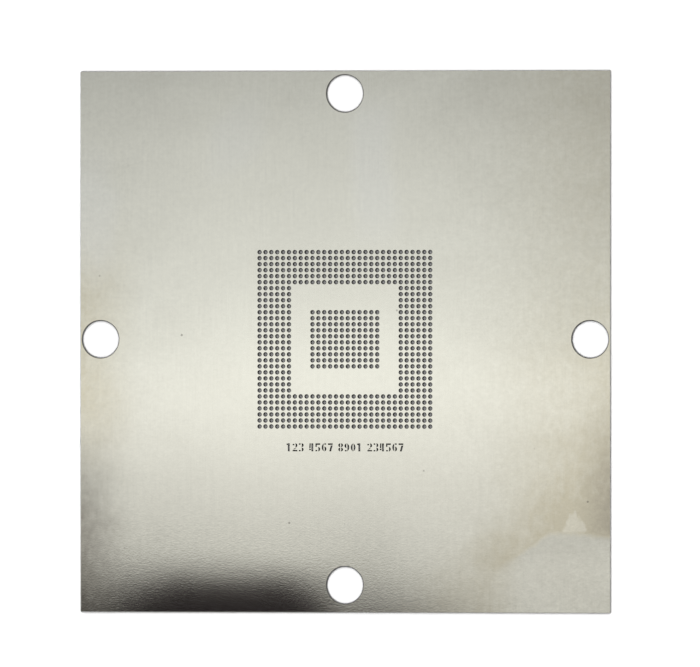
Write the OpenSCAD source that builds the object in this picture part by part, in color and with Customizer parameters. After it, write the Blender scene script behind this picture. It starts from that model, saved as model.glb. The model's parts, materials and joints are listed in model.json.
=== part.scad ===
// Ball-placement stencil: one flat square sheet of stainless steel, cut through with a field of round
// apertures, four locating holes and a row of plain counting digits.
// The origin is at the middle of the underside, +Z is up and +Y is the edge away from the digits.
// All lengths are in millimetres.

/* [Sheet] */
// Side of the sheet along X
sheet_x = 90; // [86:1:120]
// Side of the sheet along Y
sheet_y = 90; // [86:1:120]
// Thickness of the sheet
sheet_t = 0.4; // [0.25:0.05:0.8]
// Width and depth of the broken edge round the upper face
edge_break = 0.06; // [0.02:0.01:0.1]
// How far the pattern of holes and digits sits from the middle of the sheet, towards +Y
pattern_rise = 0.4; // [0:0.1:0.8]

/* [Locating holes] */
// Diameter of the four locating holes
locating_d = 6.2; // [3:0.1:7]
// Width and depth of the deburred edge at the top of each locating hole
locating_break = 0.12; // [0.05:0.01:0.14]
// Metal left between a left or right locating hole and the side of the sheet
side_web = 0.3; // [0.3:0.05:4]
// Metal left between a top or bottom locating hole and the edge, with no rise of the pattern
end_web = 1.03; // [1:0.01:4]

/* [Aperture field] */
// Centre distance of neighbouring apertures
pitch = 1; // [0.8:0.05:1.1]
// Diameter of an aperture
aperture_d = 0.7; // [0.4:0.05:0.75]
// Apertures along each side of the outer ring
ring_side = 30; // [28:1:34]
// Rows of apertures in the depth of the outer ring
ring_rows = 6; // [2:1:6]
// Columns of apertures in the inner block
core_cols = 12; // [2:1:14]
// Rows of apertures in the inner block
core_rows = 10; // [2:1:14]

/* [Digit row] */
// How many digits each group of the row holds
digit_groups = [3, 4, 4, 6]; // [1:1:6]
// Height of a digit
digit_h = 1.33; // [1.1:0.01:2]
// Width of a digit
digit_w = 0.8; // [0.7:0.01:0.9]
// Width of a heavy stroke
stroke_w = 0.32; // [0.2:0.01:0.32]
// Width of a light stroke
hairline_w = 0.22; // [0.12:0.01:0.22]
// Metal bridge that holds the middle of a digit
bridge_w = 0.1; // [0.08:0.01:0.14]
// Space between two digits of a group
digit_gap = 0.26; // [0.2:0.01:0.4]
// Extra space between two groups
group_gap = 0.7; // [0.4:0.05:1.5]
// Clear sheet between the apertures and the digits
digit_drop = 2.45; // [1.5:0.05:6]

/* [Hidden] */
$fn = 48;

// How far a cut runs past the face that it opens, so that no skin is left
overcut = 0.1;

locating_r = locating_d / 2;
locating_half_x = sheet_x / 2 - side_web - locating_r;
locating_half_y = sheet_y / 2 - end_web - locating_r;
locating_places = [
    [-locating_half_x, 0],
    [locating_half_x, 0],
    [0, -locating_half_y],
    [0, locating_half_y]
];

// Distance from the middle of the field to the first row or column
ring_reach = (ring_side - 1) / 2;
core_reach_x = (core_cols - 1) / 2;
core_reach_y = (core_rows - 1) / 2;

// The row of digits, from the left edge of the first digit to the right edge of the last
digit_count = total(digit_groups);
digit_step = digit_w + digit_gap;
row_length = digit_count * digit_step - digit_gap + (len(digit_groups) - 1) * group_gap;
row_foot = -ring_reach * pitch - aperture_d / 2 - digit_drop - digit_h;

// Parts that several digits share
head_h = 0.8 * stroke_w;
terminal_w = 0.9 * stroke_w;
terminal_h = 0.7 * stroke_w;
bowl_reach = (digit_w - bridge_w) / 2;
half_bowl_h = (digit_h - bridge_w) / 2;
two_shoulder = 0.48 * digit_h;
four_bar_top = 0.32 * digit_h;
five_bowl_top = 0.56 * digit_h;
six_bowl_top = 0.6 * digit_h;

function total(list, n = 0) = n < len(list) ? list[n] + total(list, n + 1) : 0;

// How many group gaps come before digit number i, which counts from 0
function gaps_before(i, g = 0) =
    g < len(digit_groups) - 1 && i >= digit_groups[g] ? 1 + gaps_before(i - digit_groups[g], g + 1) : 0;

// Radius of the arc over a chord of the given length that bulges out from it by rise
function arc_r(chord, rise) = (chord * chord / 4 + rise * rise) / (2 * rise);

// ---- Apertures ----

module aperture(column, row) {
    translate([column * pitch, row * pitch])
        circle(d = aperture_d);
}

// One band of rows over the whole width of the ring
module full_rows(first, last) {
    for (row = [first:last], column = [0:ring_side - 1])
        aperture(column - ring_reach, row - ring_reach);
}

// The rows that have apertures only at their two ends
module split_rows(first, last) {
    for (row = [first:last], column = [0:ring_rows - 1]) {
        aperture(column - ring_reach, row - ring_reach);
        aperture(ring_reach - column, row - ring_reach);
    }
}

module outer_ring() {
    full_rows(0, ring_rows - 1);
    split_rows(ring_rows, ring_side - ring_rows - 1);
    full_rows(ring_side - ring_rows, ring_side - 1);
}

module inner_block() {
    for (row = [0:core_rows - 1], column = [0:core_cols - 1])
        aperture(column - core_reach_x, row - core_reach_y);
}

// ---- Digits, each in a box from [0, 0] to [digit_w, digit_h] ----

module bar(x, y, w, h) {
    translate([x, y])
        square([w, h]);
}

// A straight stroke of the given width along X, from one height to another
module slant(x_low, y_low, x_high, y_high, w) {
    polygon([[x_low, y_low], [x_low + w, y_low], [x_high + w, y_high], [x_high, y_high]]);
}

// A heavy curved stroke like a bracket, from y_low up to y_high. Its ends lie on x = 0 and its back
// reaches to x = -bulge.
module bowl(y_low, y_high, bulge) {
    chord = y_high - y_low;
    outer_r = arc_r(chord, bulge);
    inner_rise = max(bulge - stroke_w, hairline_w / 4);
    inner_r = arc_r(chord, inner_rise);
    translate([0, (y_low + y_high) / 2])
        difference() {
            intersection() {
                translate([outer_r - bulge, 0])
                    circle(r = outer_r);
                translate([-bulge, -chord / 2])
                    square([bulge, chord]);
            }
            translate([inner_r - inner_rise, 0])
                circle(r = inner_r);
        }
}

// The left and the right bowl of a digit, with a bridge between their ends
module left_bowl(y_low, y_high) {
    translate([bowl_reach, 0])
        bowl(y_low, y_high, bowl_reach);
}

module right_bowl(y_low, y_high) {
    translate([digit_w - bowl_reach, 0])
        mirror([1, 0])
            bowl(y_low, y_high, bowl_reach);
}

// A short stroke that ends a curved digit
module terminal(x, y) {
    bar(x, y, terminal_w, terminal_h);
}

module digit_0() {
    left_bowl(0, digit_h);
    right_bowl(0, digit_h);
}

module digit_1() {
    stem_x = (digit_w - stroke_w) / 2;
    bar(stem_x, 0, stroke_w, digit_h);
    bar(stem_x - hairline_w, digit_h - head_h, hairline_w, hairline_w);
}

module digit_2() {
    right_bowl(two_shoulder, digit_h);
    terminal(0, digit_h - stroke_w);
    slant(hairline_w / 4, hairline_w + bridge_w, digit_w / 2, two_shoulder - bridge_w, hairline_w);
    bar(0, 0, digit_w, hairline_w);
}

module digit_3() {
    right_bowl(0, half_bowl_h);
    right_bowl(digit_h - half_bowl_h, digit_h);
    terminal(0, 0);
    terminal(0, digit_h - terminal_h);
}

module digit_4() {
    stem_x = digit_w - stroke_w - hairline_w / 2;
    bar(stem_x, 0, stroke_w, digit_h);
    bar(0, four_bar_top - hairline_w, stem_x - bridge_w, hairline_w);
    slant(0, four_bar_top + bridge_w, stem_x - bridge_w - hairline_w, digit_h, hairline_w);
}

module digit_5() {
    right_bowl(0, five_bowl_top);
    terminal(0, 0);
    bar(0, five_bowl_top, hairline_w, digit_h - five_bowl_top);
    bar(0, digit_h - head_h, digit_w, head_h);
}

module digit_6() {
    left_bowl(0, digit_h);
    right_bowl(0, six_bowl_top);
    terminal(digit_w - bowl_reach, digit_h - terminal_h);
}

module digit_7() {
    bar(0, digit_h - head_h, digit_w, head_h);
    slant(hairline_w, 0, digit_w - stroke_w, digit_h - head_h - bridge_w, stroke_w);
}

module digit_8() {
    left_bowl(0, half_bowl_h);
    right_bowl(0, half_bowl_h);
    left_bowl(digit_h - half_bowl_h, digit_h);
    right_bowl(digit_h - half_bowl_h, digit_h);
}

module digit_9() {
    translate([digit_w, digit_h])
        rotate(180)
            digit_6();
}

module digit(value) {
    if (value == 0) digit_0();
    if (value == 1) digit_1();
    if (value == 2) digit_2();
    if (value == 3) digit_3();
    if (value == 4) digit_4();
    if (value == 5) digit_5();
    if (value == 6) digit_6();
    if (value == 7) digit_7();
    if (value == 8) digit_8();
    if (value == 9) digit_9();
}

// The counting digits 1, 2, 3 and so on, with 0 after 9
module digit_row() {
    for (i = [0:digit_count - 1])
        translate([i * digit_step + gaps_before(i) * group_gap - row_length / 2, row_foot])
            digit((i + 1) % 10);
}

// ---- The sheet ----

// Everything that is cut straight through, seen from above
module cut_pattern() {
    translate([0, pattern_rise]) {
        outer_ring();
        inner_block();
        digit_row();
        for (place = locating_places)
            translate(place)
                circle(r = locating_r);
    }
}

// The wedge that breaks one upper edge, lying along X under y = 0
module edge_wedge(length) {
    rotate([90, 0, 90])
        translate([0, 0, -length / 2])
            linear_extrude(length)
                polygon([
                    [-edge_break - overcut, sheet_t + overcut],
                    [overcut, sheet_t - edge_break - overcut],
                    [overcut, sheet_t + overcut]
                ]);
}

module broken_edges() {
    for (side = [0, 1]) {
        rotate(180 * side)
            translate([0, sheet_y / 2, 0])
                edge_wedge(sheet_x + 2 * overcut);
        rotate(90 + 180 * side)
            translate([0, sheet_x / 2, 0])
                edge_wedge(sheet_y + 2 * overcut);
    }
}

// The cone that breaks the top edge of a locating hole
module deburring_cone() {
    translate([0, 0, sheet_t - locating_break])
        cylinder(h = locating_break + overcut, r1 = locating_r, r2 = locating_r + locating_break + overcut);
}

module stencil_sheet() {
    color([0.76, 0.75, 0.70])
        difference() {
            linear_extrude(sheet_t)
                difference() {
                    square([sheet_x, sheet_y], center = true);
                    cut_pattern();
                }
            broken_edges();
            for (place = locating_places)
                translate([place.x, place.y + pattern_rise, 0])
                    deburring_cone();
        }
}

stencil_sheet();
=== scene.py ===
"""Dresses the flat ball-placement stencil: its punched sheet and finishes, the table, light and camera."""

import json
import math
from functools import cached_property

import bmesh
import bpy
from mathutils import Matrix, Vector


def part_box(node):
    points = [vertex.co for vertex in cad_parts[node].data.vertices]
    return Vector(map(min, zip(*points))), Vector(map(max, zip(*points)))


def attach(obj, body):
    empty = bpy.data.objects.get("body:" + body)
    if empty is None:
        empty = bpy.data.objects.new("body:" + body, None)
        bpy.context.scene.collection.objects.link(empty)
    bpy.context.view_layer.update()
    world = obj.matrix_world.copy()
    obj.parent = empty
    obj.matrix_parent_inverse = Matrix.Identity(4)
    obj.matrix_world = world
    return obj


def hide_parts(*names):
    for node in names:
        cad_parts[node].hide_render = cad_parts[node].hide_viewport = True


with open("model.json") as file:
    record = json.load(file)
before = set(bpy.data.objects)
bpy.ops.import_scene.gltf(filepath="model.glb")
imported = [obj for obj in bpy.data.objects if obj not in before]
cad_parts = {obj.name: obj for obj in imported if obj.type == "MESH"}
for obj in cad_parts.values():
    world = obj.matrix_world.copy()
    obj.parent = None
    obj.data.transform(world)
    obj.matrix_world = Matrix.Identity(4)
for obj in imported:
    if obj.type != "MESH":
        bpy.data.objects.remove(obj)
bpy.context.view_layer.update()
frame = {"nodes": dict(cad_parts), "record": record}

bl_info = {
    "name": "Ball-placement stencil",
    "version": (1, 0, 0),
    "blender": (4, 5, 0),
    "location": "3D View > Sidebar > Stencil",
    "description": "Models and finishes a flat stainless stencil sheet with a field of round apertures",
    "category": "Add Mesh",
}

MM = 0.001
SHEET_NODE = "stencil_sheet"
SHEET_LOW, SHEET_HIGH = (Vector(corner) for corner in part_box(SHEET_NODE))
SHEET_SIZE = SHEET_HIGH - SHEET_LOW

LOCATING_HOLES = [mount for mount in frame["record"]["mounts"] if mount["kind"] == "bore"]

# Two points closer than this are one corner of the mesh
WELD = 0.002 * MM

# A face whose normal rises less than this towards Z is a wall of an edge or a cut
WALL_NORMAL = 0.9

# What the table gives back where the camera doesn't look straight at it
TABLE_GREY = (0.86, 0.86, 0.86)


# ---------------------------------------------------------------- settings


class StencilSheetSettings(bpy.types.PropertyGroup):
    edge_break: bpy.props.FloatProperty(
        name="Edge break",
        description="Width of the broken edge round the upper face",
        default=0.06 * MM,
        unit="LENGTH",
        precision=5,
    )
    rim_break: bpy.props.FloatProperty(
        name="Rim break",
        description="Width of the deburred rim of a locating hole",
        default=0.12 * MM,
        unit="LENGTH",
        precision=5,
    )
    hole_steps: bpy.props.IntProperty(
        name="Hole steps",
        description="Sides of the polygon that stands for a locating hole",
        default=80,
        min=12,
    )
    smooth_angle: bpy.props.FloatProperty(
        name="Smooth angle",
        description="Edges that turn less than this are shaded smooth",
        default=math.radians(30),
        subtype="ANGLE",
    )


class ApertureSettings(bpy.types.PropertyGroup):
    pitch: bpy.props.FloatProperty(
        name="Pitch",
        description="Centre distance of neighbouring apertures",
        default=1 * MM,
        unit="LENGTH",
        precision=5,
    )
    diameter: bpy.props.FloatProperty(
        name="Diameter",
        description="Diameter of an aperture",
        default=0.7 * MM,
        unit="LENGTH",
        precision=5,
    )
    rim: bpy.props.FloatProperty(
        name="Rim",
        description="Width of the worn and scorched rim of an aperture",
        default=0.03 * MM,
        unit="LENGTH",
        precision=5,
    )
    field_side: bpy.props.IntProperty(
        name="Field side",
        description="Apertures along each side of the outer ring",
        default=30,
    )
    ring_rows: bpy.props.IntProperty(
        name="Ring rows",
        description="Rows of apertures in the depth of the outer ring",
        default=6,
    )
    core_columns: bpy.props.IntProperty(
        name="Core columns",
        description="Columns of apertures in the inner block",
        default=12,
    )
    core_rows: bpy.props.IntProperty(
        name="Core rows",
        description="Rows of apertures in the inner block",
        default=10,
    )


class DigitSettings(bpy.types.PropertyGroup):
    half_width: bpy.props.FloatProperty(
        name="Half width",
        description="Half the width of the strip of sheet that carries the digits",
        default=10.5 * MM,
        unit="LENGTH",
        precision=5,
    )
    top: bpy.props.FloatProperty(
        name="Top",
        description="Place along Y of the strip's upper side",
        default=-16.5 * MM,
        unit="LENGTH",
        precision=5,
    )
    foot: bpy.props.FloatProperty(
        name="Foot",
        description="Place along Y of the strip's lower side",
        default=-18.7 * MM,
        unit="LENGTH",
        precision=5,
    )


class FinishSettings(bpy.types.PropertyGroup):
    steel: bpy.props.FloatVectorProperty(
        name="Steel",
        description="Colour of the clean rolled stainless face",
        default=(0.985, 0.976, 0.866),
        subtype="COLOR",
        min=0,
        max=1,
    )
    brown: bpy.props.FloatVectorProperty(
        name="Flux brown",
        description="Colour of the steel under a film of old flux",
        default=(0.705, 0.66, 0.515),
        subtype="COLOR",
        min=0,
        max=1,
    )
    # Grey film colour, also used for the painted dim reflection towards the sides and the rear
    film: bpy.props.FloatVectorProperty(
        name="Grey film",
        description="Colour of the steel where handling has dulled it",
        default=(0.32, 0.32, 0.288),
        subtype="COLOR",
        min=0,
        max=1,
    )
    haze: bpy.props.FloatVectorProperty(
        name="Pale haze",
        description="Colour of the steel where solvent dried on it",
        default=(0.93, 0.935, 0.89),
        subtype="COLOR",
        min=0,
        max=1,
    )
    smoke: bpy.props.FloatVectorProperty(
        name="Dark smear",
        description="Colour of the steel under a dark handling smear",
        default=(0.3, 0.275, 0.23),
        subtype="COLOR",
        min=0,
        max=1,
    )
    pit: bpy.props.FloatVectorProperty(
        name="Pit",
        description="Colour of the small pits in the rolled face",
        default=(0.05, 0.045, 0.04),
        subtype="COLOR",
        min=0,
        max=1,
    )
    cut_edge: bpy.props.FloatVectorProperty(
        name="Cut edge",
        description="Colour of the scorched walls of the cuts",
        default=(0.09, 0.088, 0.082),
        subtype="COLOR",
        min=0,
        max=1,
    )
    soot: bpy.props.FloatVectorProperty(
        name="Soot",
        description="Colour of the darkest streaks on the walls of the cuts",
        default=(0.03, 0.028, 0.027),
        subtype="COLOR",
        min=0,
        max=1,
    )
    bright_edge: bpy.props.FloatVectorProperty(
        name="Bright edge",
        description="Colour of the smooth part of the sheared outer edge",
        default=(0.52, 0.515, 0.48),
        subtype="COLOR",
        min=0,
        max=1,
    )
    dragged_edge: bpy.props.FloatVectorProperty(
        name="Dragged edge",
        description="Colour of the torn part of the sheared outer edge",
        default=(0.30, 0.295, 0.27),
        subtype="COLOR",
        min=0,
        max=1,
    )


class StageSettings(bpy.types.PropertyGroup):
    camera_distance: bpy.props.FloatProperty(
        name="Camera distance",
        description="How far the camera stands from the middle of the sheet",
        default=4,
        unit="LENGTH",
    )
    camera_tilt: bpy.props.FloatProperty(
        name="Camera tilt",
        description="How far the camera leans from straight above, towards +X",
        default=math.radians(12),
        subtype="ANGLE",
    )
    view_width: bpy.props.FloatProperty(
        name="View width",
        description="Width that the camera sees at the sheet",
        default=116.372 * MM,
        unit="LENGTH",
        precision=5,
    )
    aim_right: bpy.props.FloatProperty(
        name="Aim right",
        description="How far right of the middle of the sheet the camera aims",
        default=0.776 * MM,
        unit="LENGTH",
        precision=5,
    )
    aim_up: bpy.props.FloatProperty(
        name="Aim up",
        description="How far above the middle of the sheet, in the view, the camera aims",
        default=1.362 * MM,
        unit="LENGTH",
        precision=5,
    )
    window_height: bpy.props.FloatProperty(
        name="Window height",
        description="How high the window stands over the table",
        default=math.radians(40),
        subtype="ANGLE",
    )
    window_width: bpy.props.FloatProperty(
        name="Window width",
        description="How broad the window looks from the sheet",
        default=math.radians(20),
        subtype="ANGLE",
    )
    window_strength: bpy.props.FloatProperty(
        name="Window strength",
        description="Strength of the light from the window",
        default=0.6,
    )
    table_side: bpy.props.FloatProperty(
        name="Table side",
        description="Side of the table top",
        default=8,
        unit="LENGTH",
    )


SETTINGS = {
    "stencil_sheet": StencilSheetSettings,
    "stencil_apertures": ApertureSettings,
    "stencil_digits": DigitSettings,
    "stencil_finish": FinishSettings,
    "stencil_stage": StageSettings,
}


# ---------------------------------------------------------------- shaders


class Shade:
    """One value of a shader; Python's own arithmetic on it adds Math nodes."""

    def __init__(self, tree, socket):
        self.tree = tree
        self.socket = socket

    def math(self, operation, *others, clamp=False):
        settings = {"operation": operation, "use_clamp": clamp}
        return self.tree.node("ShaderNodeMath", settings, dict(enumerate((self, *others))))["Value"]

    def __add__(self, other):
        return self.math("ADD", other)

    def __sub__(self, other):
        return self.math("SUBTRACT", other)

    def __mul__(self, other):
        return self.math("MULTIPLY", other)

    def __truediv__(self, other):
        return self.math("DIVIDE", other)

    def __neg__(self):
        return self.math("MULTIPLY", -1.0)

    def __rsub__(self, other):
        return (-self) + other

    __radd__ = __add__
    __rmul__ = __mul__

    def absolute(self):
        return self.math("ABSOLUTE")

    def clamped(self):
        return self.math("ADD", 0.0, clamp=True)

    def at_most(self, other):
        return self.math("MINIMUM", other)

    def at_least(self, other):
        return self.math("MAXIMUM", other)

    def step(self, low, high):
        """0 below low and 1 above high, with a soft passage; the other way round if low is the larger."""
        if low > high:
            return 1.0 - self.step(high, low)
        settings = {"interpolation_type": "SMOOTHSTEP"}
        inputs = {"Value": self, "From Min": low, "From Max": high}
        return self.tree.node("ShaderNodeMapRange", settings, inputs)["Result"]


class ShaderTree:
    """The nodes of one material or world, with one method that adds any node."""

    def __init__(self, owner):
        owner.use_nodes = True
        self.nodes = owner.node_tree.nodes
        self.links = owner.node_tree.links
        self.nodes.clear()

    def node(self, kind, settings=None, inputs=None):
        """Adds a node, sets it up, fills or links its sockets and gives its outputs by name."""
        made = self.nodes.new(kind)
        for name, value in (settings or {}).items():
            if name == "stops":
                set_stops(made.color_ramp, value)
            else:
                setattr(made, name, value)
        for name, value in (inputs or {}).items():
            socket = made.inputs[name]
            if isinstance(value, Shade):
                self.links.new(value.socket, socket)
            elif socket.type == "RGBA":
                socket.default_value = (*value, 1)
            else:
                socket.default_value = value
        return {socket.name: Shade(self, socket) for socket in made.outputs if socket.enabled}

    def vector_math(self, operation, *inputs):
        settings = {"operation": operation}
        return self.node("ShaderNodeVectorMath", settings, dict(enumerate(inputs)))["Vector"]

    def mix(self, factor, first, second):
        """A colour between two colours."""
        return self.node("ShaderNodeMix", {"data_type": "RGBA"}, {0: factor, 6: first, 7: second})["Result"]

    def ramp(self, value, stops):
        """A colour picked along a row of stops."""
        return self.node("ShaderNodeValToRGB", {"stops": stops}, {0: value})["Color"]

    def place(self):
        """The object's own coordinates in millimetres, whole and as X, Y and Z."""
        own = self.node("ShaderNodeTexCoord")["Object"]
        settings = {"operation": "SCALE"}
        millimetres = self.node("ShaderNodeVectorMath", settings, {0: own, "Scale": 1 / MM})["Vector"]
        parts = self.node("ShaderNodeSeparateXYZ", None, {0: millimetres})
        return millimetres, parts["X"], parts["Y"], parts["Z"]

    def noise(self, place, grain, detail=2.0, roughness=0.5, shift=(0.0, 0.0, 0.0)):
        """Cloudy noise around 0; grain is the size of its clouds along X, Y and Z, in millimetres."""
        inputs = {"Vector": place, "Location": shift, "Scale": tuple(1 / size for size in grain)}
        placed = self.node("ShaderNodeMapping", {"vector_type": "POINT"}, inputs)["Vector"]
        inputs = {"Vector": placed, "Scale": 1.0, "Detail": detail, "Roughness": roughness}
        return self.node("ShaderNodeTexNoise", {"noise_dimensions": "3D"}, inputs)["Fac"] - 0.5

    def spots(self, place, spacing):
        """Distance in mm to the nearest of scattered points, and that point's own random number."""
        inputs = {"Vector": place, "Scale": (1 / spacing, 1 / spacing, 0.0)}
        placed = self.node("ShaderNodeMapping", {"vector_type": "POINT"}, inputs)["Vector"]
        inputs = {"Vector": placed, "Scale": 1.0}
        found = self.node("ShaderNodeTexVoronoi", {"voronoi_dimensions": "3D"}, inputs)
        chance = self.node("ShaderNodeSeparateColor", None, {0: found["Color"]})["Red"]
        return found["Distance"] * spacing, chance

    def end_in(self, kind, inputs):
        """Ends a material in one shader."""
        shader = self.node(kind, None, inputs)["BSDF"]
        self.node("ShaderNodeOutputMaterial", None, {"Surface": shader})


def set_stops(ramp, stops):
    """Puts a colour ramp's stops in place; a number stands for a grey."""
    for place, _ in stops[len(ramp.elements):]:
        ramp.elements.new(place)
    for element, (place, colour) in zip(ramp.elements, stops):
        element.position = place
        element.color = (*colour, 1) if isinstance(colour, tuple) else (colour, colour, colour, 1)


def oval(x, y, centre, reach):
    """0 in the middle of an oval and 1 on its rim, growing beyond."""
    across = (x - centre[0]) / reach[0]
    along = (y - centre[1]) / reach[1]
    return across * across + along * along


def new_material(name):
    material = bpy.data.materials.new(name)
    return material, ShaderTree(material)


class RolledFace:
    """What varies over the sheet's rolled face, with places and sizes in millimetres."""

    def __init__(self, tree):
        self.tree = tree
        self.place, self.x, self.y, _ = tree.place()
        self.warp = tree.noise(self.place, (34, 22, 40), shift=(3.1, 1.7, 0))
        self.wave = tree.noise(self.place, (16, 9, 40), shift=(8.4, 2.2, 0))
        self.cloud = tree.noise(self.place, (11, 8, 40), detail=3.0, roughness=0.55, shift=(1.3, 7.7, 0))
        self.mottle = tree.noise(self.place, (1.5, 2.2, 40), roughness=0.6, shift=(4.3, 6.1, 0))
        self.right = self.x.step(6, 34)
        self.left = self.x.step(-20, -46)
        self.front = self.y.step(-18, -38)

    def lean(self):
        """How far the face's shading normal leans along Y, as if the thin sheet bowed and its front edge
        curled, most at the left.
        """
        x, y = self.x, self.y
        from_ridge = y + 8.0 - x.step(-8, 8) * 1.4 + self.warp * 9.0
        flatter = 1.0 - x.step(2, 36) * 0.42
        bow = (from_ridge.at_least(0.0) + from_ridge.at_most(0.0) * flatter) * 0.0026
        into_curl = -y - 35.0 - x.step(-4, 30) * 2.6 + x.step(-28, -42) * 1.6 + self.wave * 2.2
        share = (x.step(2, -13) * 0.7 + x.step(36, 2) * 0.3) * (x.step(-44, -27) * 0.72 + 0.28)
        return bow - into_curl.step(-1.4, 15.0) * share * 0.19

    def relief(self):
        """Height of the fine orange peel, coarser and drawn out along X near the front edge."""
        wrinkle = self.tree.noise(self.place, (0.36, 0.2, 1.0), roughness=0.6)
        peel = self.tree.noise(self.place, (0.4, 0.4, 1.0), roughness=0.6, shift=(5, 5, 0))
        near_edge = self.y.step(-24, -38) * self.x.step(36, -6)
        return wrinkle * (near_edge * 0.0095 + 0.0014) + peel * (self.front * 0.0024 + 0.0018)

    def normal(self):
        lean = self.tree.node("ShaderNodeCombineXYZ", None, {"Y": self.lean()})["Vector"]
        upright = self.tree.node("ShaderNodeNewGeometry")["Normal"]
        leaning = self.tree.vector_math("NORMALIZE", self.tree.vector_math("ADD", upright, lean))
        inputs = {"Strength": 1.0, "Distance": MM, "Height": self.relief(), "Normal": leaning}
        return self.tree.node("ShaderNodeBump", None, inputs)["Normal"]

    @cached_property
    def above_pool(self):
        """Distance behind the edge of a pool of flux that dried at the front right; negative inside it."""
        pool_edge = (34.5 - self.x).at_least(0.0) * -0.72 - 32.0
        return self.y - pool_edge - self.mottle * 1.8 - self.cloud * 2.4

    @cached_property
    def pool(self):
        """Where that dried pool lies."""
        return self.above_pool.step(0.7, -0.7) * self.x.step(23, 31)

    @cached_property
    def wiped_path(self):
        """The path that a cloth wiped forward from the rear locating hole."""
        from_middle = self.x - 4.6 + (self.y - 30.0) * 0.05 + self.wave * 3.0
        return from_middle.absolute().step(5.0, 1.5) * self.y.step(13, 24) * self.y.step(43, 36)

    @cached_property
    def painted_sheen_band(self):
        """Where the reflected bright band crosses the right half of the sheet; the dimming and the brown
        are thinned there, a painted sheen.
        """
        from_middle = self.y + 9.0 + self.wave * 5.0
        fading = 1.0 - self.x.step(39, 46) * 0.7
        return from_middle.absolute().step(10, 2) * self.x.step(4, 24) * fading

    def film(self):
        """The grey film that dulls the sides and the rear corners; the darkening towards the sides and the
        rear is partly that film and partly painted dim reflection.
        """
        x, y, mottle = self.x, self.y, self.mottle
        # Darker towards the right, left and rear sides: partly grey film, partly painted dim reflection
        right_dimming = x.step(8, 34) * 0.09 + x.step(30, 46) * 0.12 * y.step(-14, 10)
        left_dimming = x.step(-14, -46) * 0.13 + x.step(-38, -46) * y.step(-12, -22) * 0.14
        rear_dimming = y.step(30, 47) * 0.12
        # Thinner along the reflected bright band at the right: a painted sheen
        film = right_dimming * (1.0 - self.painted_sheen_band * 0.75) + left_dimming + rear_dimming
        film = film * (self.cloud * 1.1 + 1.0) + 0.04 - self.wiped_path * 0.06 + self.cloud * 0.05
        film = film + mottle * (self.right * 0.06 + self.front * 0.03 + 0.07)
        return film + self.pool * (y.step(-39, -33) * 0.17 + 0.07)

    def browning(self):
        """Old flux that browns both sides and the rear right, thickest just outside the dried pool."""
        x, y, cloud, wave = self.x, self.y, self.cloud, self.wave
        at_left = (x + self.warp * 8.0).step(-33, -45) * (y + cloud * 9.0).step(-26, -8)
        at_left = at_left * y.step(26, 4) * 0.7
        at_right = (x + wave * 9.0).step(20, 47) * (y + cloud * 10.0).step(22, -16) * 0.8
        # Less brown along the reflected bright band at the right: a painted sheen
        at_right = at_right * (1.0 - self.painted_sheen_band * 0.45) + self.right * 0.14
        at_rear = x.step(22, 44) * y.step(0, 26) * 0.3
        at_pool = self.above_pool.step(13, 0) * (x + cloud * 12.0).step(-3, 18) * 0.34
        patch = oval(x + wave * 5.0, y + cloud * 3.0, (25.5, -34.6), (4.6, 3.4)).step(1.6, 0.1) * 0.2
        brown = (at_left + at_right + at_rear + at_pool) * (self.mottle * 0.9 + 1.0)
        return brown * (1.0 - self.pool * 0.9) + patch + cloud * 0.12 + self.warp * 0.1

    def haze(self):
        """A pale cool haze where solvent dried, at the rear left and in the wiped path."""
        x, y, cloud, wave = self.x, self.y, self.cloud, self.wave
        outer = oval(x + wave * 5.0, y + cloud * 6.0, (-43.0, 21.0), (5.0, 12.0)).step(1.3, 0.0) * 0.4
        slanted = x - y * 0.35 + cloud * 5.0
        inner = oval(slanted, y + wave * 4.0, (-30.5, 34.0), (5.5, 8.0)).step(1.3, 0.0) * 0.3
        return outer + inner + self.wiped_path * 0.4

    def flake(self):
        """The spot where one flake of the dried flux came away."""
        behind = self.y + 31.3
        spread = (self.x - 39.0).absolute() * 1.25 + behind.absolute() * 0.72 + self.mottle * 2.2
        return spread.step(3.0, 2.1) * behind.step(-0.6, 0.0) * 0.4

    def smears(self):
        """Dark handling smears at both front sides."""
        x, y, cloud, wave = self.x, self.y, self.cloud, self.wave
        at_left = (x + wave * 6.0).step(-35, -46) * (y + cloud * 14.0).step(-10, -32) * 1.05
        at_right = (x + wave * 3.0).step(38, 47) * (y + cloud * 6.0).step(-4, -28)
        at_right = at_right * y.step(-34, -31) * 0.9
        return (at_left + at_right) * (self.mottle * 0.7 + 0.6)

    def tone(self):
        """The rolling grain and the grit."""
        noise = self.tree.noise
        grit = noise(self.place, (0.95, 0.8, 40), detail=3.0, roughness=0.72, shift=(9.3, 1.1, 0))
        grain = noise(self.place, (0.25, 9.0, 40), roughness=0.6, shift=(2.3, 3.1, 0))
        strength = self.right * 0.08 + self.front * 0.05 + self.left * 0.06 + 0.11
        return grain * 0.07 + grit * strength + 0.93

    def pits(self):
        away, chance = self.tree.spots(self.place, 4.6)
        return away.step(0.26, 0.08) * chance.step(0.76, 0.98) * 0.55


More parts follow.
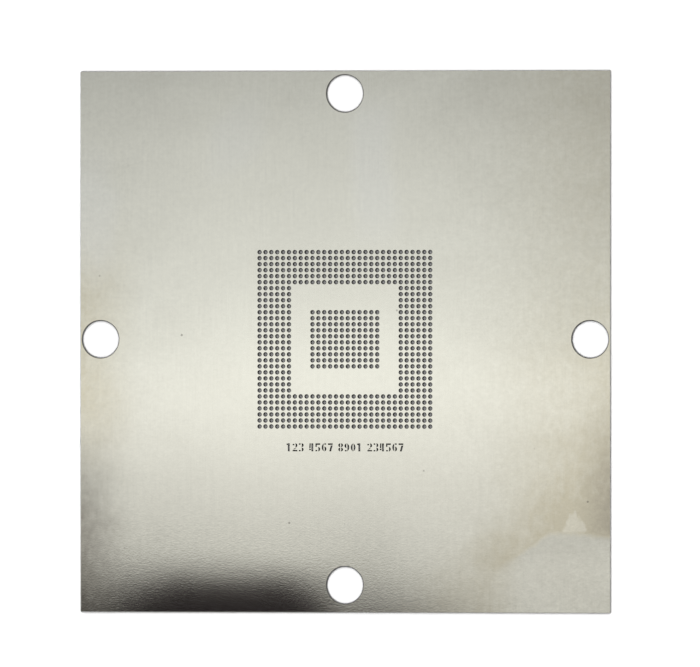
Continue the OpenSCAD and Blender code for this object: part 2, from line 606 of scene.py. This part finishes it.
def rolled_steel(finish):
    """Satin rolled stainless with a slow bow, handling marks, flux stains and fine orange peel; its colour
    also holds painted reflection, darker towards the sides and the rear and lighter along the bright band
    at the right.
    """
    material, tree = new_material("rolled_stainless_face")
    face = RolledFace(tree)
    colour = tuple(finish.steel)
    layers = (
        # Partly grey film, partly painted dim reflection towards the sides and the rear
        (face.film(), finish.film),
        (face.browning(), finish.brown),
        (face.haze(), finish.haze),
        (face.flake(), finish.steel),
        (face.smears(), finish.smoke),
    )
    for cover, stain in layers:
        colour = tree.mix(cover.clamped(), colour, tuple(stain))
    colour = tree.mix(face.tone().clamped(), (0, 0, 0), colour)
    colour = tree.mix(face.pits(), colour, tuple(finish.pit))
    inputs = {"Base Color": colour, "Metallic": 1.0, "Roughness": 0.16, "Normal": face.normal()}
    tree.end_in("ShaderNodeBsdfPrincipled", inputs)
    return material


def sheared_edge(finish):
    """The plain grey metal of the sheared outer edge and its broken corner."""
    material, tree = new_material("sheared_edge")
    place, _, _, _ = tree.place()
    drag = tree.noise(place, (0.5, 0.5, 0.06)) + 0.5
    colour = tree.mix(drag, tuple(finish.dragged_edge), tuple(finish.bright_edge))
    inputs = {"Base Color": colour, "Metallic": 1.0, "Roughness": 0.42}
    tree.end_in("ShaderNodeBsdfPrincipled", inputs)
    return material


def scorched_wall(finish):
    """The dull dark wall that the cutting leaves in each hole."""
    material, tree = new_material("scorched_cut_wall")
    place, _, _, _ = tree.place()
    tone = tree.noise(place, (0.05, 0.05, 0.6)) * 0.9 + 0.9
    colour = tree.mix(tone.clamped(), tuple(finish.soot), tuple(finish.cut_edge))
    inputs = {"Base Color": colour, "Metallic": 0.6, "Roughness": 0.55}
    tree.end_in("ShaderNodeBsdfPrincipled", inputs)
    return material


def white_table():
    """The table top; what looks straight at it sees a clean white that still takes shadow, darkened further
    by an ambient occlusion term near the sheet: a painted contact shadow in the holes, the slots and along
    the edges.
    """
    material, tree = new_material("white_table")
    seen = tree.node("ShaderNodeLightPath")["Is Camera Ray"]
    openness = tree.node("ShaderNodeAmbientOcclusion", {"samples": 6}, {"Distance": 0.3 * MM})["AO"]
    # Painted contact shadow: the white darkens where ambient occlusion finds the sheet close by
    white = tree.mix(openness.step(0.38, 0.9), (0, 0, 0), (1, 1, 1))
    colour = tree.mix(seen, TABLE_GREY, white)
    tree.end_in("ShaderNodeBsdfDiffuse", {"Color": colour})
    return material


# ---------------------------------------------------------------- modelling


def only(obj):
    """Makes one object the only selected one, and the active one."""
    bpy.ops.object.select_all(action="DESELECT")
    obj.select_set(True)
    bpy.context.view_layer.objects.active = obj


def edit(obj):
    only(obj)
    bpy.ops.object.mode_set(mode="EDIT")


def leave():
    bpy.ops.object.mode_set(mode="OBJECT")


def pick(kind, wanted):
    """In edit mode, selects only the elements for which wanted() holds, and counts them."""
    mesh = bmesh.from_edit_mesh(bpy.context.edit_object.data)
    bpy.ops.mesh.select_mode(type={"verts": "VERT", "edges": "EDGE", "faces": "FACE"}[kind])
    bpy.ops.mesh.select_all(action="DESELECT")
    chosen = [element for element in getattr(mesh, kind) if wanted(element)]
    for element in chosen:
        element.select_set(True)
    mesh.select_flush_mode()
    bmesh.update_edit_mesh(bpy.context.edit_object.data)
    return len(chosen)


def middle(element):
    """The middle of an edge or a face."""
    return sum((vertex.co for vertex in element.verts), Vector()) / len(element.verts)


def at_height(element, height):
    return all(abs(vertex.co.z - height) < WELD for vertex in element.verts)


def pattern_middle():
    """The middle of the pattern of holes, halfway between the left and right locating holes."""
    sides = [Vector(mount["pos_m"]) for mount in LOCATING_HOLES if abs(mount["pos_m"][0]) > WELD]
    return sum(sides, Vector()) / len(sides)


def model_aperture_tile(holes, corner):
    """One square cell of the sheet with its round aperture, its lowest corner at the given place."""
    cuts = 4
    half = holes.pitch / 2
    centre = Vector((corner.x + half, corner.y + half, SHEET_HIGH.z))
    bpy.ops.object.select_all(action="DESELECT")
    bpy.ops.mesh.primitive_grid_add(
        x_subdivisions=cuts, y_subdivisions=cuts, size=holes.pitch, location=centre
    )
    tile = bpy.context.object
    tile.name = "aperture_tile"
    bpy.ops.object.transform_apply(location=True, rotation=True, scale=True)
    edit(tile)
    pick("verts", lambda v: max(abs(v.co.x - centre.x), abs(v.co.y - centre.y)) < 0.9 * half)
    bpy.ops.mesh.delete(type="VERT")
    bpy.ops.mesh.primitive_circle_add(vertices=4 * cuts, radius=holes.diameter / 2, location=centre)
    bpy.ops.mesh.select_all(action="SELECT")
    bpy.ops.mesh.bridge_edge_loops()
    rim = holes.diameter / 2 + WELD
    bpy.ops.mesh.duplicate_move(TRANSFORM_OT_translate={"value": (0, 0, -SHEET_SIZE.z)})
    pick("verts", lambda v: (v.co - centre).length < rim)
    wide = 1 + 2 * holes.rim / holes.diameter
    bpy.ops.transform.resize(value=(wide, wide, 1), center_override=centre)
    pick("edges", lambda e: all((v.co - centre).length < wide * rim for v in e.verts))
    lower_loop(holes.rim, 1 / wide, centre)

    def on_open_rim(edge):
        near = all((vertex.co.xy - centre.xy).length < rim for vertex in edge.verts)
        return near and len(edge.link_faces) == 1

    pick("edges", on_open_rim)
    bpy.ops.mesh.bridge_edge_loops()
    leave()
    return tile


def repeat(tile, pitch, columns, rows):
    """Copies the tile along X and Y into one mesh."""
    only(tile)
    for axis, count in (((pitch, 0, 0), columns), ((0, pitch, 0), rows)):
        bpy.ops.object.modifier_add(type="ARRAY")
        array = tile.modifiers[-1]
        array.count = count
        array.use_relative_offset = False
        array.use_constant_offset = True
        array.constant_offset_displace = axis
        bpy.ops.object.modifier_apply(modifier=array.name)


class STENCIL_OT_aperture_field(bpy.types.Operator):
    """Model the ring and the inner block of apertures"""

    bl_idname = "stencil.aperture_field"
    bl_label = "Aperture field"

    def execute(self, context):
        holes = context.scene.stencil_apertures
        middle_of_field = pattern_middle()
        reach = holes.field_side * holes.pitch / 2
        corner = Vector((middle_of_field.x - reach, middle_of_field.y - reach, 0))
        field = model_aperture_tile(holes, corner)
        repeat(field, holes.pitch, holes.field_side, holes.field_side)
        field.name = "aperture_field"

        ring_inside = reach - holes.ring_rows * holes.pitch
        core_x = holes.core_columns * holes.pitch / 2
        core_y = holes.core_rows * holes.pitch / 2

        def in_blank_band(face):
            place = middle(face) - middle_of_field
            in_ring = max(abs(place.x), abs(place.y)) < ring_inside
            in_core = abs(place.x) < core_x and abs(place.y) < core_y
            return in_ring and not in_core

        edit(field)
        pick("faces", in_blank_band)
        bpy.ops.mesh.delete(type="FACE")
        bpy.ops.mesh.select_all(action="SELECT")
        bpy.ops.mesh.remove_doubles(threshold=WELD)
        leave()
        if not field.data.polygons:
            raise RuntimeError("the aperture field came out empty")
        return {"FINISHED"}


class STENCIL_OT_digit_strip(bpy.types.Operator):
    """Cut the strip with the digit slots out of a welded copy of the constructed sheet"""

    bl_idname = "stencil.digit_strip"
    bl_label = "Digit strip"

    def execute(self, context):
        strip = context.scene.stencil_digits
        only(frame["nodes"][SHEET_NODE])
        bpy.ops.object.duplicate()
        digits = context.object
        digits.parent = None
        digits.name = "digit_strip"
        digits.data.name = "digit_strip"
        for key in list(digits.keys()):
            del digits[key]
        digits.data.materials.clear()
        bpy.ops.mesh.customdata_custom_splitnormals_clear()
        edit(digits)
        bpy.ops.mesh.select_all(action="SELECT")
        fine = 0.1 * WELD
        bpy.ops.mesh.remove_doubles(threshold=fine)
        sides = (
            ((strip.half_width, 0, 0), (1, 0, 0)),
            ((-strip.half_width, 0, 0), (-1, 0, 0)),
            ((0, strip.top, 0), (0, 1, 0)),
            ((0, strip.foot, 0), (0, -1, 0)),
        )
        for place, outwards in sides:
            bpy.ops.mesh.select_all(action="SELECT")
            bpy.ops.mesh.bisect(plane_co=place, plane_no=outwards, clear_outer=True, threshold=fine)
        leave()
        if not digits.data.polygons:
            raise RuntimeError("the digit strip came out empty")
        return {"FINISHED"}


def lower_loop(distance, scale=1.0, centre=(0, 0, 0)):
    """Draws the selected loop of edges down, as a wall, and narrows or widens its foot."""
    bpy.ops.mesh.extrude_edges_move(TRANSFORM_OT_translate={"value": (0, 0, -distance)})
    if scale != 1.0:
        bpy.ops.transform.resize(value=(scale, scale, 1), center_override=centre)


def model_blank(blank):
    """The walls of the sheet's outer edge and of its locating holes, still open at both ends."""
    top = SHEET_HIGH.z
    side = SHEET_SIZE.x - 2 * blank.edge_break
    bpy.ops.object.select_all(action="DESELECT")
    bpy.ops.mesh.primitive_plane_add(size=side, location=(0, 0, top))
    sheet = bpy.context.object
    sheet.name = "stencil_sheet_steel"
    sheet.data.name = "stencil_sheet_steel"
    bpy.ops.object.transform_apply(location=True, rotation=True, scale=True)
    edit(sheet)
    bpy.ops.mesh.delete(type="ONLY_FACE")
    bpy.ops.mesh.select_all(action="SELECT")
    lower_loop(blank.edge_break, SHEET_SIZE.x / side)
    lower_loop(SHEET_SIZE.z - blank.edge_break)
    for mount in LOCATING_HOLES:
        radius = mount["dims"]["r_mm"] * MM
        rim = radius + blank.rim_break
        centre = Vector((mount["pos_m"][0], mount["pos_m"][1], top))
        bpy.ops.mesh.select_all(action="DESELECT")
        bpy.ops.mesh.primitive_circle_add(vertices=blank.hole_steps, radius=rim, location=centre)
        lower_loop(blank.rim_break, radius / rim, centre)
        lower_loop(SHEET_SIZE.z - blank.rim_break)
    leave()
    return sheet


def weld_all():
    bpy.ops.mesh.select_all(action="SELECT")
    bpy.ops.mesh.remove_doubles(threshold=WELD / 4)


def join_to(sheet, *names):
    """Joins the named parts to the sheet, and welds their shared corners."""
    bpy.ops.object.select_all(action="DESELECT")
    for name in (sheet.name, *names):
        bpy.data.objects[name].select_set(True)
    bpy.context.view_layer.objects.active = sheet
    bpy.ops.object.join()
    edit(sheet)
    weld_all()
    leave()


def fill_face(height, inside):
    """Fills the sheet between all the open loops at one height whose edges lie inside."""

    def wanted(edge):
        return len(edge.link_faces) < 2 and at_height(edge, height) and inside(middle(edge))

    if pick("edges", wanted):
        bpy.ops.mesh.fill(use_beauty=True)


def close_sheet(sheet, holes):
    """Fills the upper and lower faces, first inside the ring of apertures, then around it."""
    centre = pattern_middle()
    mid_ring = (holes.field_side - holes.ring_rows) / 2 * holes.pitch

    def in_band(place):
        return max(abs(place.x - centre.x), abs(place.y - centre.y)) < mid_ring

    edit(sheet)
    for height in (SHEET_HIGH.z, SHEET_LOW.z):
        fill_face(height, in_band)
        fill_face(height, lambda place: not in_band(place))
    weld_all()
    bpy.ops.mesh.normals_make_consistent(inside=False)
    open_edges = pick("edges", lambda e: len(e.link_faces) != 2)
    leave()
    if open_edges:
        raise RuntimeError(f"the sheet has {open_edges} open edges")


def paint(sheet, material, wanted):
    """Gives a material to the faces for which wanted() holds."""
    sheet.data.materials.append(material)
    edit(sheet)
    pick("faces", wanted)
    sheet.active_material_index = len(sheet.data.materials) - 1
    bpy.ops.object.material_slot_assign()
    leave()


class STENCIL_OT_sheet(bpy.types.Operator):
    """Model the blank sheet round the apertures and digits, and give it its finishes"""

    bl_idname = "stencil.sheet"
    bl_label = "Stencil sheet"

    def execute(self, context):
        blank = context.scene.stencil_sheet
        finish = context.scene.stencil_finish
        sheet = model_blank(blank)
        join_to(sheet, "aperture_field", "digit_strip")
        close_sheet(sheet, context.scene.stencil_apertures)

        outside = SHEET_SIZE.x / 2 - 2 * blank.edge_break

        def is_wall(face):
            return abs(face.normal.z) < WALL_NORMAL

        def on_outer_edge(face):
            place = middle(face)
            return is_wall(face) and max(abs(place.x), abs(place.y)) > outside

        sheet.data.materials.clear()
        paint(sheet, rolled_steel(finish), lambda face: True)
        paint(sheet, scorched_wall(finish), is_wall)
        paint(sheet, sheared_edge(finish), on_outer_edge)
        only(sheet)
        bpy.ops.object.shade_smooth_by_angle(angle=blank.smooth_angle)

        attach(sheet, "root")
        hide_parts(SHEET_NODE)
        return {"FINISHED"}


# ---------------------------------------------------------------- stage


def light_world(world):
    """Soft light from low all round; the polished side sees a ceiling that darkens towards the front."""
    tree = ShaderTree(world)
    direction = tree.node("ShaderNodeTexCoord")["Generated"]
    parts = tree.node("ShaderNodeSeparateXYZ", None, {0: direction})
    along, up = parts["Y"], parts["Z"]
    path = tree.node("ShaderNodeLightPath")

    low_ring = up.step(0.26, 0.38) * up.step(0.60, 0.50) * 3.6
    all_round = up.step(0.995, 0.93) * 0.5 + 0.04
    brightest = 5
    diffuse = tree.mix((low_ring + all_round) / brightest, (0, 0, 0), (brightest,) * 3)

    ceiling = tree.ramp(
        (along + 0.5).clamped(),
        [
            (0.10, (0.012, 0.009, 0.011)),
            (0.19, (0.03, 0.024, 0.027)),
            (0.33, (0.56, 0.555, 0.545)),
            (0.42, (0.79, 0.785, 0.78)),
            (0.465, (0.915, 0.91, 0.90)),
            (0.50, (1.17, 1.17, 1.165)),
            (0.532, (0.90, 0.905, 0.90)),
            (0.58, (0.785, 0.79, 0.79)),
            (0.80, (0.51, 0.515, 0.52)),
        ],
    )
    walls = tree.ramp(up.clamped(), [(0.0, 0.5), (0.12, 0.6), (0.42, 0.82), (0.7, 0.86)])
    glossy = tree.mix(up.step(0.5, 0.74), walls, ceiling)

    colour = tree.mix(path["Is Glossy Ray"], diffuse, glossy)
    colour = tree.mix(path["Is Camera Ray"], colour, (1, 1, 1))
    shader = tree.node("ShaderNodeBackground", None, {"Color": colour, "Strength": 1.0})["Background"]
    tree.node("ShaderNodeOutputWorld", None, {"Surface": shader})
    world.cycles.sampling_method = "NONE"


def add_table(side):
    """A white table a hair below the sheet."""
    bpy.ops.object.select_all(action="DESELECT")
    bpy.ops.mesh.primitive_plane_add(size=side, location=(0, 0, SHEET_LOW.z - 0.01 * MM))
    table = bpy.context.object
    table.name = "table"
    table.data.materials.append(white_table())


def add_window(stage):
    """A broad soft window behind the sheet."""
    turn = (stage.window_height - math.pi / 2, 0, 0)
    bpy.ops.object.light_add(type="SUN", rotation=turn, location=(0, 1, 1))
    window = bpy.context.object
    window.name = "window"
    window.data.energy = stage.window_strength
    window.data.angle = stage.window_width


def add_camera(stage):
    """A distant camera that looks down on the sheet."""
    tilt = stage.camera_tilt
    back = Vector((math.sin(tilt), 0, math.cos(tilt)))
    right = Vector((math.cos(tilt), 0, -math.sin(tilt)))
    upwards = Vector((0, 1, 0))
    aim = right * stage.aim_right + upwards * stage.aim_up
    bpy.ops.object.camera_add()
    camera = bpy.context.object
    camera.name = "camera"
    turn = Matrix((right, upwards, back)).transposed().to_4x4()
    camera.matrix_world = Matrix.Translation(aim + back * stage.camera_distance) @ turn
    camera.data.lens = camera.data.sensor_width * stage.camera_distance / stage.view_width
    camera.data.clip_end = 5 * stage.camera_distance
    bpy.context.scene.camera = camera


class STENCIL_OT_stage(bpy.types.Operator):
    """Set the table, the light and the camera"""

    bl_idname = "stencil.stage"
    bl_label = "Stage"

    def execute(self, context):
        stage = context.scene.stencil_stage
        world = bpy.data.worlds.new("studio")
        context.scene.world = world
        light_world(world)
        add_table(stage.table_side)
        add_window(stage)
        add_camera(stage)
        context.scene.view_settings.view_transform = "Standard"
        if not context.scene.camera:
            raise RuntimeError("the stage has no camera")
        return {"FINISHED"}


# ---------------------------------------------------------------- add-on


class STENCIL_PT_sidebar(bpy.types.Panel):
    """The stencil's tools, in the order in which they are used"""

    bl_label = "Stencil"
    bl_idname = "STENCIL_PT_sidebar"
    bl_space_type = "VIEW_3D"
    bl_region_type = "UI"
    bl_category = "Stencil"

    def draw(self, context):
        for operator in OPERATORS:
            self.layout.operator(operator.bl_idname)
        for name, group in SETTINGS.items():
            box = self.layout.box()
            for prop in group.__annotations__:
                box.prop(getattr(context.scene, name), prop)


OPERATORS = (
    STENCIL_OT_aperture_field,
    STENCIL_OT_digit_strip,
    STENCIL_OT_sheet,
    STENCIL_OT_stage,
)


def register():
    for cls in (*SETTINGS.values(), *OPERATORS, STENCIL_PT_sidebar):
        bpy.utils.register_class(cls)
    for name, group in SETTINGS.items():
        setattr(bpy.types.Scene, name, bpy.props.PointerProperty(type=group))


def unregister():
    for name in SETTINGS:
        delattr(bpy.types.Scene, name)
    for cls in (STENCIL_PT_sidebar, *reversed(OPERATORS), *reversed(list(SETTINGS.values()))):
        bpy.utils.unregister_class(cls)


def main():
    register()
    bpy.ops.stencil.aperture_field()
    bpy.ops.stencil.digit_strip()
    bpy.ops.stencil.sheet()
    bpy.ops.stencil.stage()


if __name__ == "__main__":
    main()
